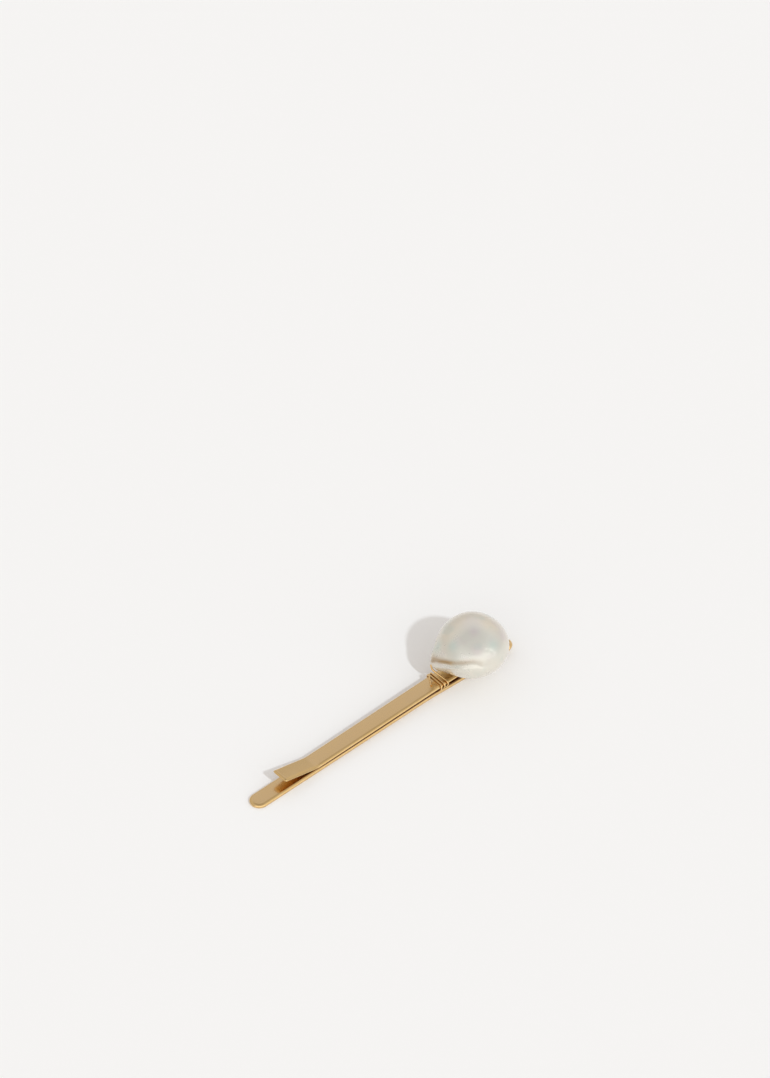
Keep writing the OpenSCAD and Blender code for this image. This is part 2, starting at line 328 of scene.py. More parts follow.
SHARP = math.radians(50)  # edges turned further than this stay sharp
DRILL_SHARP = math.radians(40)  # and on a drilled piece
STRAIGHT_ROW = 0.0015  # spacing of the rows of points along straight parts
BOW_ROW, BEND_ROW, LOOP_ROW = 0.0006, 0.0001, 0.00008  # and along each kind of bend
END_GAP = 0.00003  # from the last row along a strip's side to its end's corner
SMALLEST_CORNER = 0.00002
TUCKED = (0.3, 0.99)  # part of a crowned edge painted with the crevice's shade, as shares of its width
CREVICE_SHADE_FADE = 0.003  # length over which the painted crevice shade fades out


def new_object(name, vertices, faces, material, edges=()):
    """A mesh object at the origin, with its place in its mesh."""
    mesh = bpy.data.meshes.new(name)
    mesh.from_pydata([tuple(v) for v in vertices], list(edges), faces)
    mesh.update()
    obj = bpy.data.objects.new(name, mesh)
    bpy.context.collection.objects.link(obj)
    if material:
        mesh.materials.append(material)
    return obj


def smooth_shading(obj, sharp):
    """Shades the mesh smooth up to an angle."""
    for polygon in obj.data.polygons:
        polygon.use_smooth = True
    obj.data.set_sharp_from_angle(angle=sharp)


def tidy_mesh(obj):
    """Closes seams, turns faces outwards and shades the mesh smooth."""
    bm = bmesh.new()
    bm.from_mesh(obj.data)
    bmesh.ops.remove_doubles(bm, verts=bm.verts, dist=1e-8)
    bmesh.ops.recalc_face_normals(bm, faces=bm.faces)
    bm.to_mesh(obj.data)
    bm.free()
    smooth_shading(obj, SHARP)


def paint(obj, name, values):
    """Stores a value at each point, for the material to read."""
    attribute = obj.data.attributes.new(name, "FLOAT", "POINT")
    attribute.data.foreach_set("value", np.asarray(values, np.float32))


def edge_profile(strip, square=False, steps=8):
    """(inset, height) round the strip's edge, crowned on both faces or square below."""
    half, roll, tilt = strip.thickness / 2, strip.edge_roll, strip.crown_tilt
    radius = (half - roll * math.cos(tilt)) / (1 - math.cos(tilt))
    corner = roll * (1 - math.sin(tilt))
    crown = [
        (
            corner + radius * (math.sin(tilt) - math.sin(tilt * i / steps)),
            half - radius * (1 - math.cos(tilt * i / steps)),
        )
        for i in range(steps)
    ]
    turn = [tilt + (math.pi / 2 - tilt) * i / steps for i in range(steps + 1)]
    upper = crown + [(roll * (1 - math.sin(a)), roll * math.cos(a)) for a in turn]
    if not square:
        return [(inset, -height) for inset, height in upper] + upper[::-1]
    ease = upper[0][0]
    flat = [(ease + (roll - ease) * i / steps, -half) for i in range(steps)]
    turn = [math.pi / 2 * i / steps for i in range(steps + 1)]
    below = [(roll * (1 - math.sin(a)), roll - half - roll * math.cos(a)) for a in turn]
    return flat + below + upper[::-1]


def half_outline(marks, total, half_width, corner, inset, ease, steps=20):
    """One side of a strip's plan: out along its edge and round the corner of its free end."""
    side_end = total - max(corner, ease) - END_GAP
    side = [(s, half_width - inset) for s in marks if s < side_end]
    radius = max(corner - inset, SMALLEST_CORNER)
    centre_s, centre_y = total - inset - radius, half_width - inset - radius
    turn = (math.pi / 2 * i / steps for i in range(steps + 1))
    return side + [(centre_s + radius * math.sin(a), centre_y + radius * math.cos(a)) for a in turn]


def prong_mesh(path, marks, layout, corner, shaded, square=False):
    """A strip bent along a path, with a shaped end: points, faces, edge and shade of each point.

    The edges that face the other prong get painted shade, for the dark crevice between the prongs,
    up to a distance along the path.
    """
    profile = edge_profile(layout.strip, square)
    ease = profile[0][0]
    points, edge, shade, rows = [], [], [], []
    for inset, height in profile:
        side = half_outline(marks, path.length, layout.half_width, corner, inset, ease)
        loop = [(s, y) for s, y in side] + [(s, -y) for s, y in reversed(side)]
        rows.append(range(len(points), len(points) + len(loop)))
        for s, y in loop:
            x, z, h = path.at(s)
            points.append((x + height * math.sin(h), y, z - height * math.cos(h)))
            edge.append(1 - inset / ease)
            # Painted shade of the crevice between the prongs, on the crowned edges that face the
            # other prong
            facing = height > 0 if square else height < 0
            tucked = facing and TUCKED[0] < inset / ease < TUCKED[1]
            shade.append(min(max((shaded - s) / CREVICE_SHADE_FADE, 0), 1) if tucked else 0.0)
    faces = []
    for a, b in zip(rows, rows[1:]):
        faces += [(a[i], a[i + 1], b[i + 1], b[i]) for i in range(len(a) - 1)]
    for row in (rows[0], rows[-1]):
        last = len(row) - 1
        faces += [(row[i], row[i + 1], row[last - i - 1], row[last - i]) for i in range(last // 2)]
    faces.append([row[0] for row in rows] + [row[-1] for row in reversed(rows)])
    return np.array(points), faces, edge, shade


def band_mesh(path, marks, layout):
    """The loop, whose edges change from one prong's shape to the other's, as in prong_mesh."""
    first, last = edge_profile(layout.strip, square=True), edge_profile(layout.strip)
    half = layout.half_width
    points, edge = [], []
    for s in marks:
        x, z, h = path.at(s)
        share = s / path.length
        section = [
            (a[0] + (b[0] - a[0]) * share, a[1] + (b[1] - a[1]) * share)
            for a, b in zip(first, last)
        ]
        ring = [(half - inset, height, inset) for inset, height in section]
        ring += [(-y, height, inset) for y, height, inset in reversed(ring)]
        for y, height, inset in ring:
            points.append((x - height * math.sin(h), y, z + height * math.cos(h)))
            edge.append(1 - inset / first[0][0])
    n = 2 * len(first)
    faces = []
    for k in range(len(marks) - 1):
        for i in range(n):
            j = (i + 1) % n
            faces.append((k * n + i, k * n + j, (k + 1) * n + j, (k + 1) * n + i))
    faces += [list(range(n)), list(range((len(marks) - 1) * n, len(marks) * n))]
    return np.array(points), faces, edge, np.zeros(len(points))


def strip_piece(name, mesh_parts, layout, material, from_upper=False):
    """A finished piece of the strip, resting on the surface."""
    points, faces, edge, shade = mesh_parts
    if from_upper:
        points = layout.from_upper(points)
    obj = new_object(name, layout.resting(points), faces, material)
    paint(obj, "edge", edge)
    paint(obj, "shade", shade)
    tidy_mesh(obj)
    return obj


# ---- Materials ----


PATTERN = (
    ("Color", "NodeSocketColor"),
    ("Roughness", "NodeSocketFloat"),
    ("Height", "NodeSocketFloat"),
)
# Painted shade: the dark brown of the crevice between the prongs
CREVICE_SHADE = (0.24, 0.11, 0.03, 1)
ROSE_LUSTRE = (0.60, 0.505, 0.50, 1)
GREEN_LUSTRE = (0.475, 0.56, 0.50, 1)
# Painted shade and painted reflection of the gold strip, on the overhang above the pearl's crease
CREASE_SHADE = (0.37, 0.25, 0.13, 1)
PALE_FLECK = (0.78, 0.76, 0.70, 1)
NACRE_PAINT = ("Warmth", "Middle", "Rose", "Green", "Crease")  # as pearl_shape paints them
DRAWN = (0.05, 1.0, 1.0)  # scale that stretches the gilding's grain along the pin
STRIP_GRAIN, WIRE_GRAIN, NACRE_GRAIN = 0.0000015, 0.000001, 0.000001  # heights of the grain

def add(tree, kind, inputs=(), **settings):
    """A node with its settings and its inputs, each a value or another node's socket."""
    node = tree.nodes.new(kind)
    for key, value in settings.items():
        setattr(node, key, value)
    for key, value in dict(inputs).items():
        if isinstance(value, bpy.types.NodeSocket):
            tree.links.new(value, node.inputs[key])
        else:
            node.inputs[key].default_value = value
    return node


def new_group(name, colours, values):
    """A pattern's node group with named inputs: (tree, its input node, its output node)."""
    tree = bpy.data.node_groups.new(name, "ShaderNodeTree")
    for kind, sockets in (("NodeSocketColor", colours), ("NodeSocketFloat", values)):
        for socket in sockets:
            tree.interface.new_socket(socket, in_out="INPUT", socket_type=kind)
    for socket, kind in PATTERN:
        tree.interface.new_socket(socket, in_out="OUTPUT", socket_type=kind)
    return tree, tree.nodes.new("NodeGroupInput"), tree.nodes.new("NodeGroupOutput")


def give(tree, result, *sockets):
    """Links the colour, roughness and height of a pattern to its group's output."""
    for (name, _), socket in zip(PATTERN, sockets):
        tree.links.new(socket, result.inputs[name])


def dot(tree, vector, direction):
    """The socket of a vector's share along a direction."""
    node = add(tree, "ShaderNodeVectorMath", {0: vector, 1: direction}, operation="DOT_PRODUCT")
    return node.outputs["Value"]


def product(tree, a, b):
    """The socket of two values multiplied."""
    return add(tree, "ShaderNodeMath", {0: a, 1: b}, operation="MULTIPLY").outputs[0]


def mix_colour(tree, factor, a, b):
    """The socket of a colour mixed from two others."""
    node = add(tree, "ShaderNodeMix", data_type="RGBA")
    for index, value in ((0, factor), (6, a), (7, b)):
        if isinstance(value, bpy.types.NodeSocket):
            tree.links.new(value, node.inputs[index])
        else:
            node.inputs[index].default_value = value
    return node.outputs[2]


def sum_of(tree, *terms):
    """The socket of a sum of (value, weight) terms."""
    total = 0.0
    for value, weight in terms:
        node = add(
            tree, "ShaderNodeMath", {0: value, 1: weight, 2: total}, operation="MULTIPLY_ADD"
        )
        total = node.outputs[0]
    return total


def noise(tree, vector, scale, detail=3.0, roughness=0.55):
    """The socket of a soft random value, around one half."""
    node = add(
        tree,
        "ShaderNodeTexNoise",
        {"Vector": vector, "Scale": scale, "Detail": detail, "Roughness": roughness},
    )
    return node.outputs["Fac"]


def smooth(tree, value, low, high):
    """The socket of a value taken smoothly from 0 at low to 1 at high."""
    node = add(
        tree,
        "ShaderNodeMapRange",
        {"Value": value, "From Min": low, "From Max": high},
        interpolation_type="SMOOTHSTEP",
    )
    return node.outputs["Result"]


def polish_group():
    """Drawn grain, smudges, rubbed edges and painted crevice shade, shared by every gilt piece."""
    tree, given, result = new_group(
        "Gilt Polish", ("Gold", "Worn Gold"), ("Roughness", "Edge", "Shade")
    )
    place = add(tree, "ShaderNodeTexCoord").outputs["Object"]
    drawn = add(tree, "ShaderNodeMapping", {"Vector": place, "Scale": DRAWN})
    grain = noise(tree, drawn.outputs["Vector"], 9000, 2.0)
    smudge = noise(tree, place, 260, 3.0)
    speck = noise(tree, place, 3800, 2.0)
    wear = smooth(tree, noise(tree, place, 900), 0.35, 0.7)
    rubbed = product(tree, given.outputs["Edge"], wear)
    tone = sum_of(tree, (rubbed, 0.6), (smooth(tree, smudge, 0.3, 0.8), 0.22))
    gilding = mix_colour(tree, tone, given.outputs["Gold"], given.outputs["Worn Gold"])
    # Painted shade of the crevice between the prongs, where the shade attribute is 1
    gilding = mix_colour(tree, given.outputs["Shade"], gilding, CREVICE_SHADE)
    rough = sum_of(
        tree,
        (given.outputs["Roughness"], 1.0),
        (smooth(tree, smudge, 0.35, 0.75), 0.07),
        (grain, 0.05),
        (rubbed, -0.05),
    )
    give(tree, result, gilding, rough, sum_of(tree, (grain, 0.7), (speck, 0.3)))
    return tree


def patterned_material(name, group, colours, roughness, attributes, grain, strength=1.0):
    """A coated material that shows a pattern: (the material, its shader)."""
    material = bpy.data.materials.new(name)
    material.use_nodes = True
    tree = material.node_tree
    shader = tree.nodes["Principled BSDF"]
    pattern = tree.nodes.new("ShaderNodeGroup")
    pattern.node_tree = group
    for socket, value in colours.items():
        pattern.inputs[socket].default_value = (*value, 1)
    pattern.inputs["Roughness"].default_value = roughness
    for socket in attributes:
        painted = add(tree, "ShaderNodeAttribute", attribute_name=socket.lower())
        tree.links.new(painted.outputs["Fac"], pattern.inputs[socket])
    bump = add(
        tree,
        "ShaderNodeBump",
        {"Height": pattern.outputs["Height"], "Distance": grain, "Strength": strength},
    )
    tree.links.new(pattern.outputs["Color"], shader.inputs["Base Color"])
    tree.links.new(pattern.outputs["Roughness"], shader.inputs["Roughness"])
    tree.links.new(bump.outputs["Normal"], shader.inputs["Normal"])
    shader.inputs["Coat Weight"].default_value = 1.0
    shader.inputs["Coat Roughness"].default_value = 0.12
    return material, shader


def gilt_material(name, finish, worn, attributes, grain):
    """Polished gilding with a fine drawn grain."""
    group = bpy.data.node_groups.get("Gilt Polish") or polish_group()
    colours = {"Gold": finish.gold, "Worn Gold": worn}
    material, shader = patterned_material(
        name, group, colours, finish.roughness, attributes, grain
    )
    shader.inputs["Metallic"].default_value = 1.0
    return material


def nacre_group():
    """Mottled nacre: warm and cool clouds, a rose and green lustre and fine growth lines, with
    painted shade on the middle, the right side and above the crease.
    """
    tree, given, result = new_group(
        "Nacre", ("Nacre", "Cream", "Mist"), ("Roughness", *NACRE_PAINT)
    )
    place = add(tree, "ShaderNodeTexCoord").outputs["Object"]
    cloud = noise(tree, place, 190, 2.0)
    lustre = noise(tree, place, 330, 1.5)
    fleck = noise(tree, place, 1500, 3.0)
    growth = noise(tree, place, 700, 4.0)
    warm = sum_of(tree, (given.outputs["Warmth"], 0.75), (smooth(tree, cloud, 0.5, 0.75), 0.35))
    # Random mist clouds, plus painted shade on the pearl's middle and right side from the Middle
    # mask
    cool = sum_of(tree, (given.outputs["Middle"], 0.50), (smooth(tree, cloud, 0.5, 0.25), 0.3))
    body = mix_colour(tree, warm, given.outputs["Nacre"], given.outputs["Cream"])
    body = mix_colour(tree, cool, body, given.outputs["Mist"])
    rose = sum_of(tree, (given.outputs["Rose"], 0.55), (smooth(tree, lustre, 0.56, 0.70), 0.25))
    green = sum_of(tree, (given.outputs["Green"], 0.60), (smooth(tree, lustre, 0.44, 0.30), 0.28))
    crease = sum_of(tree, (given.outputs["Crease"], 0.9))
    pale = sum_of(tree, (smooth(tree, fleck, 0.50, 0.80), 0.05))
    body = mix_colour(tree, rose, body, ROSE_LUSTRE)
    body = mix_colour(tree, green, body, GREEN_LUSTRE)
    # Painted shade and reflection of the strip above the crease
    body = mix_colour(tree, crease, body, CREASE_SHADE)
    body = mix_colour(tree, pale, body, PALE_FLECK)
    rough = sum_of(
        tree,
        (given.outputs["Roughness"], 1.0),
        (smooth(tree, cloud, 0.3, 0.7), 0.05),
        (smooth(tree, growth, 0.4, 0.7), 0.06),
    )
    give(tree, result, body, rough, growth)
    return tree


def nacre_material(pearl):
    """Glossy nacre under a clear lustre."""
    colours = {"Nacre": pearl.nacre, "Cream": pearl.cream, "Mist": pearl.mist}
    material, shader = patterned_material(
        "Nacre", nacre_group(), colours, pearl.roughness, NACRE_PAINT, NACRE_GRAIN, strength=0.5
    )
    shader.inputs["Metallic"].default_value = 0.36
    shader.inputs["Coat IOR"].default_value = 1.6
    shader.inputs["IOR"].default_value = 1.6
    return material


# ---- Pearl ----


def swell(directions, peak, spread):
    """How much of a swelling shows in each direction, 1 at its peak."""
    away = np.arccos(np.clip(directions @ unit(peak), -1, 1)) / spread
    return np.exp(-away * away)


def ridge(distance, middle, width):
    """A smooth ridge's height, 1 on its line, at distances across it."""
    return np.exp(-(((distance - middle) / width) ** 2))


def beside_line(directions, line):
    """(signed distance from a line of directions, share of the way along it) for each direction."""
    nearest = np.full(len(directions), np.inf)
    side, share = np.zeros(len(directions)), np.zeros(len(directions))
    for k, (start, end) in enumerate(zip(line, line[1:])):
        start, end = unit(start), unit(end)
        pole = unit(np.cross(start, end))
        ahead = np.cross(pole, start)
        span = math.atan2(end @ ahead, end @ start)
        across = np.arcsin(np.clip(directions @ pole, -1, 1))
        along = np.arctan2(directions @ ahead, directions @ start) / span
        past = np.maximum(0, np.maximum(-along, along - 1)) * span
        distance = np.hypot(across, past)
        closer = distance < nearest
        nearest = np.where(closer, distance, nearest)
        side = np.where(closer, np.where(across < 0, -distance, distance), side)
        share = np.where(closer, (k + np.clip(along, 0, 1)) / (len(line) - 1), share)
    return side, share


def waves(directions, seed, count, size):
    """Soft unevenness of a grown surface, about 0."""
    random = np.random.default_rng(seed)
    total = np.zeros(len(directions))
    for _ in range(count):
        axis = unit(random.normal(size=3)) * size * random.uniform(0.6, 1.4)
        total += np.sin(directions @ axis + random.uniform(0, 2 * math.pi))
    return total / count


def pearl_shape(layout):
    """Points and faces of the undrilled pearl, and what is painted at each point."""
    pearl, oval = layout.pearl, layout.oval
    rings, sides = pearl.rings, 2 * pearl.rings
    axis = unit(layout.tip)
    side = unit(np.cross(axis, [0, 0, 1]))
    up = np.cross(side, axis)
    turn = 2 * math.pi * np.arange(sides) / sides
    d = [axis]
    for ring in range(1, rings):
        a = math.pi * ring / rings
        round_ = np.cos(turn)[:, None] * side + np.sin(turn)[:, None] * up
        d.extend(math.cos(a) * axis + math.sin(a) * round_)
    d = np.array([*d, -axis])
    body = 1 / np.linalg.norm(d / oval, axis=1)
    pull = np.linalg.norm(layout.tip) * np.linalg.norm(axis / oval) - 1
    share = 1 + pull * swell(d, axis, pearl.tip_spread)
    share += 0.045 * swell(d, [0.35, 0.45, 0.82], math.radians(30))
    share += 0.05 * swell(d, [-0.86, 0, -0.5], math.radians(30))
    side_way, along = beside_line(d, CREASE)
    fade = np.clip((1 - along) / 0.25, 0, 1)
    depth = 0.040 * (1 - 0.5 * along) * fade
    share -= depth * ridge(side_way, 0, 0.078 - 0.034 * along)
    share += 0.62 * depth * ridge(side_way, -0.16, 0.10)
    share += 0.25 * depth * ridge(side_way, 0.19, 0.14)
    rim, _ = beside_line(d, RIM)
    share += 0.010 * ridge(rim, 0, 0.06) - 0.008 * ridge(rim, -0.15, 0.09)
    share += 0.0030 * waves(d, 3, 9, 7.0) + 0.0011 * waves(d, 8, 10, 19.0)
    for peak in DIMPLES:
        share -= 0.007 * swell(d, peak, 0.05)
    points = layout.pearl_middle + (share * body)[:, None] * d
    last = 1 + (rings - 1) * sides
    at = lambda ring, k: 1 + (ring - 1) * sides + k % sides
    faces = [(0, at(1, k), at(1, k + 1)) for k in range(sides)]
    for ring in range(1, rings - 1):
        faces += [
            (at(ring, k), at(ring + 1, k), at(ring + 1, k + 1), at(ring, k + 1))
            for k in range(sides)
        ]
    faces += [(last, at(rings - 1, k + 1), at(rings - 1, k)) for k in range(sides)]
    # Crease mask: where the overhang above the crease gets painted shade and painted reflection of
    # the strip
    overhang = ridge(side_way, 0.10, 0.085) * np.clip(1.2 - 1.5 * along, 0, 1)
    painted = {
        "crease": overhang,
        "warmth": patches(d, WARM, 0.42) + 0.9 * ridge(rim, 0, 0.07),
        # Middle: mist-grey patches that also paint shade on the pearl's middle and right side
        "middle": patches(d, MIST_AND_SHADE_PATCHES, 0.45),
        "rose": patches(d, ROSE, 0.17),
        "green": patches(d, GREEN, 0.17),
    }
    return points, faces, painted


def patches(directions, peaks, spread):
    """How strongly a set of soft patches shows in each direction."""
    return np.clip(sum(swell(directions, peak, spread) for peak in peaks), 0, 1)


# Directions from the pearl's middle, in the upper prong's frame
CREASE = (
    (-0.956, 0.255, -0.143),
    (-0.996, -0.089, 0.007),
    (-0.939, -0.333, 0.083),
    (-0.797, -0.577, 0.180),
    (-0.662, -0.715, 0.226),
    (-0.557, -0.803, 0.211),
    (-0.448, -0.884, 0.135),
    (-0.289, -0.950, 0.116),
    (-0.100, -0.980, 0.150),
)
RIM = (
    (-0.67, 0.714, 0.205),
    (-0.794, 0.599, 0.103),
    (-0.883, 0.468, 0.016),
    (-0.925, 0.368, -0.097),
)
DIMPLES = ((-0.161, -0.824, 0.542), (-0.064, -0.877, 0.476), (-0.018, -0.930, 0.368))
WARM = ((-0.06, 0.44, 0.90), (-0.79, 0.34, 0.52), (0.54, -0.16, 0.83), (0.2, 0.9, 0.3))
# Mist-grey patches, which also paint shade on the pearl's middle and right side
MIST_AND_SHADE_PATCHES = ((-0.51, -0.46, 0.72), (-0.18, -0.57, 0.80), (-0.77, -0.30, 0.56), (0.05, -0.86, 0.50))
ROSE = ((-0.15, -0.25, 0.96), (0.61, -0.65, 0.46), (-0.42, -0.68, 0.61), (0.5, 0.8, 0.3))
GREEN = ((-0.87, 0.44, 0.23), (-0.82, -0.04, 0.57), (0.09, -0.82, 0.57), (0.8, 0.2, 0.5))


def pearl_piece(layout, material):
    """The finished pearl, drilled through for its wire."""
    points, faces, painted = pearl_shape(layout)
    obj = new_object("pearl_body", layout.resting(layout.from_upper(points)), faces, material)
    for name, values in painted.items():
        paint(obj, name, values)
    drill = drill_object(layout)
    cut = obj.modifiers.new("drill", "BOOLEAN")
    cut.operation, cut.solver, cut.object = "DIFFERENCE", "EXACT", drill
    bake_modifiers(obj)
    bpy.data.objects.remove(drill)
    smooth_shading(obj, DRILL_SHARP)
    return obj


def drill_object(layout, sides=40):
    """A rod the size of the drilled hole, reaching past both of its mouths."""
    radius, past = layout.pearl.drill_diameter / 2, 0.002
    points = []
    for x in (layout.front_mouth - past, layout.rear_mouth + past):
        for k in range(sides):
            a = 2 * math.pi * k / sides
            y, z = layout.drill_y + radius * math.cos(a), layout.drill_z + radius * math.sin(a)
            points.append((x, y, z))
    faces = [(k, (k + 1) % sides, sides + (k + 1) % sides, sides + k) for k in range(sides)]
    faces += [list(range(sides - 1, -1, -1)), list(range(sides, 2 * sides))]
    obj = new_object("drill", layout.resting(layout.from_upper(points)), faces, None)
    tidy_mesh(obj)
    return obj


def bake_modifiers(obj):
    """Makes the object's mesh what its modifiers show, and removes them."""
    shown = obj.evaluated_get(bpy.context.evaluated_depsgraph_get())
    mesh = bpy.data.meshes.new_from_object(shown)
    obj.modifiers.clear()
    obj.data = mesh


# ---- Wire ----


CORNER_ROLL = 0.00028  # radius that a turn of wire wraps round at the prong's edges
WIRE_LEAD = 0.0001  # straight wire past each mouth of the hole
RISER_BEND = 0.00025  # radius of the wire's bend beyond that
BEAD = (-0.0010, -0.0003)  # bend of the front riser: up from the hole, and across
BEAD_REACH = 0.00035  # how far that bend spreads
FRONT_TAIL = (-0.0013, -0.0006)  # front tail's end: along from the first turn, and across
REAR_TAIL = (-0.00065, 0.0006)  # rear tail's end: along from the last turn, and across


def edge_arc(layout):
    """Radius of the wire's middle line at the prong's edges, and where its middles are."""
    radius = CORNER_ROLL + layout.wire.diameter / 2 + layout.wire.clearance
    return radius, layout.half_width - CORNER_ROLL, layout.half_thick - CORNER_ROLL


def rounded(before, point, after, reach, steps=8):
    """Points of the wire's bend round a point, from a reach before it to a reach after."""
    point = np.asarray(point, float)
    back, on = unit(np.subtract(before, point)), unit(np.subtract(after, point))
    return [
        point + reach * ((1 - t) ** 2 * back + t * t * on)
        for t in (i / steps for i in range(steps + 1))
    ]


def turn_round(layout, far_x, near_x, next_x, stop=1.0, corner_steps=8):
    """One turn round the upper prong from its far edge, under it and back over it."""
    radius, y, z = edge_arc(layout)
    corners = [(y, -z, 0), (-y, -z, -90), (-y, z, -180), (y, z, -270)]
    points = []
    for cy, cz, start in corners:
        for i in range(corner_steps + 1):
            a = math.radians(start - 90 * i / corner_steps)
            points.append((cy + radius * math.cos(a), cz + radius * math.sin(a)))
    places = []
    for i, (py, pz) in enumerate(points):
        share = 2 * i / (len(points) - 1)
        places.append((np.interp(share, (0, 1, 2), (far_x, near_x, next_x)), py, pz))
    return places[: math.ceil(len(places) * stop)]


def wire_routes(layout):
    """Middle lines of the wire's three pieces, in the upper prong's frame."""
    wire = layout.wire
    radius = wire.diameter / 2
    over = layout.half_thick + radius + wire.clearance
    pitch = wire.diameter + 2 * wire.clearance
    riser = RISER_BEND
    front_cut, rear_cut = layout.front_mouth - WIRE_LEAD, layout.rear_mouth + WIRE_LEAD
    drill = lambda x, dz=0.0, dy=0.0: np.array([x, layout.drill_y + dy, layout.drill_z + dz])
    far = lambda k: layout.front_x + radius + k * pitch
    near = lambda k: layout.front_x + k * (pitch + wire.turn_gap)
    front = [(far(0) + FRONT_TAIL[0], FRONT_TAIL[1], over), *far_corner(layout, far(0))]
    for k in range(wire.front_turns - 1):
        front += turn_round(layout, far(k), near(k), far(k + 1))
    last = wire.front_turns - 1
    front += turn_round(layout, far(last), near(last), near(last), stop=0.75)
    bead = drill(front_cut - riser, *BEAD)
    above = drill(front_cut - riser)
    front += rounded(front[-1], bead, above, BEAD_REACH)
    front += [
        drill(front_cut - riser * math.sin(a), -riser * (1 - math.cos(a)))
        for a in (math.radians(75 - 15 * i) for i in range(6))
    ]
    rear_x = rear_cut + riser
    rear = [
        drill(rear_cut + riser * math.sin(a), -riser * (1 - math.cos(a)))
        for a in (math.radians(15 * i) for i in range(7))
    ]
    rear += [(rear_x, layout.half_width + radius + wire.clearance, layout.half_thick)]
    back = lambda k: rear_x - k * pitch
    for k in range(wire.rear_turns - 1):
        rear += turn_round(layout, back(k), back(k + 0.5), back(k + 1))
    last = wire.rear_turns - 1
    rear += turn_round(layout, back(last), back(last + 0.5), back(last + 0.5), stop=0.75)
    rear += [(back(wire.rear_turns) + REAR_TAIL[0], REAR_TAIL[1], over)]
    inside = [drill(front_cut + (rear_cut - front_cut) * i / 12) for i in range(13)]
    return {"front": front, "inside": inside, "rear": rear}


def far_corner(layout, x, steps=6):
    """Points of the wire as it comes over the prong's far top edge."""
    radius, y, z = edge_arc(layout)
    return [
        (x, y + radius * math.cos(a), z + radius * math.sin(a))
        for a in (math.radians(90 - 90 * i / steps) for i in range(steps))
    ]


def wire_tree():
    """A node tree that turns a line into round wire."""
    tree = bpy.data.node_groups.new("Wire Along Line", "GeometryNodeTree")
    face = tree.interface
    face.new_socket("Line", in_out="INPUT", socket_type="NodeSocketGeometry")
    diameter = face.new_socket("Wire Diameter", in_out="INPUT", socket_type="NodeSocketFloat")
    sides = face.new_socket("Sides", in_out="INPUT", socket_type="NodeSocketInt")
    finish = face.new_socket("Finish", in_out="INPUT", socket_type="NodeSocketMaterial")
    face.new_socket("Wire", in_out="OUTPUT", socket_type="NodeSocketGeometry")
    given, result = tree.nodes.new("NodeGroupInput"), tree.nodes.new("NodeGroupOutput")
    line = add(tree, "GeometryNodeMeshToCurve", {"Mesh": given.outputs["Line"]})
    taper = add(tree, "GeometryNodeInputNamedAttribute", {"Name": "taper"}, data_type="FLOAT")
    line = add(
        tree,
        "GeometryNodeSetCurveRadius",
        {"Curve": line.outputs["Curve"], "Radius": taper.outputs["Attribute"]},
    )
    radius = product(tree, given.outputs["Wire Diameter"], 0.5)
    section = add(
        tree,
        "GeometryNodeCurvePrimitiveCircle",
        {"Resolution": given.outputs["Sides"], "Radius": radius},
    )
    tube = add(
        tree,
        "GeometryNodeCurveToMesh",
        {
            "Curve": line.outputs["Curve"],
            "Profile Curve": section.outputs["Curve"],
            "Fill Caps": True,
        },
    )
    whole = add(tree, "GeometryNodeRealizeInstances", {"Geometry": tube.outputs["Mesh"]})
    finished = add(
        tree,
        "GeometryNodeSetMaterial",
        {"Geometry": whole.outputs["Geometry"], "Material": given.outputs["Finish"]},
    )
    tree.links.new(finished.outputs["Geometry"], result.inputs["Wire"])
    return tree, diameter.identifier, sides.identifier, finish.identifier


def wire_piece(name, route, layout, tree_parts, material):
    """A length of round wire along a route in the upper prong's frame, with dressed ends."""
    tree, diameter, sides, finish = tree_parts
    points = layout.resting(layout.from_upper(route))
    edges = [(i, i + 1) for i in range(len(points) - 1)]
    obj = new_object(name, points, [], None, edges)
    taper = np.ones(len(points))
    taper[0] = taper[-1] = 0.96
    paint(obj, "taper", taper)
    maker = obj.modifiers.new("wire", "NODES")
    maker.node_group = tree
    maker[diameter] = layout.wire.diameter
    maker[sides] = layout.wire.sides
    maker[finish] = material
    bake_modifiers(obj)
    tidy_mesh(obj)
    return obj


# ---- Operators ----


class HAIRPIN_OT_strip(bpy.types.Operator):
    """Build the two prongs and the sprung loop that joins them"""

    bl_idname = "hairpin.strip"
    bl_label = "Build Strip"

    def execute(self, context):
        layout = Layout(context.scene)
        strip = layout.strip
        gilt = gilt_material("Gilt Strip", strip, strip.worn_gold, ("Edge", "Shade"), STRIP_GRAIN)
        path = layout.lower_path()
        # Painted crevice shade runs along the lower prong up to here, under the upper prong, and
        # along the whole underside of the upper prong
        covered = path.length - strip.tip_step - 0.8 * strip.flare_length
        marks = path.stations(STRAIGHT_ROW, BOW_ROW)
        mesh = prong_mesh(path, marks, layout, layout.half_width, covered, square=True)
        lower = strip_piece("lower_prong_strip", mesh, layout, gilt)
        path = layout.upper_path()
        marks = path.stations(STRAIGHT_ROW, BEND_ROW)
        mesh = prong_mesh(path, marks, layout, strip.end_corner, path.length)
        upper = strip_piece("upper_prong_strip", mesh, layout, gilt, from_upper=True)
        path = layout.loop_path()
        mesh = band_mesh(path, path.stations(BEND_ROW, LOOP_ROW), layout)
        loop = strip_piece("spring_bend_strip", mesh, layout, gilt)
        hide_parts("lower_prong")
        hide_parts("upper_prong")
        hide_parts("spring_bend")
        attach(lower, LOWER)
        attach(upper, UPPER)
        middle = (layout.loop_x, 0, layout.loop_z)
        ends = [(layout.loop_x, 0, layout.loop_z + side * layout.loop_radius) for side in (-1, 1)]
        low, _, high = layout.resting([ends[0], middle, ends[1]])
        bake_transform(loop)
        return {"FINISHED"}


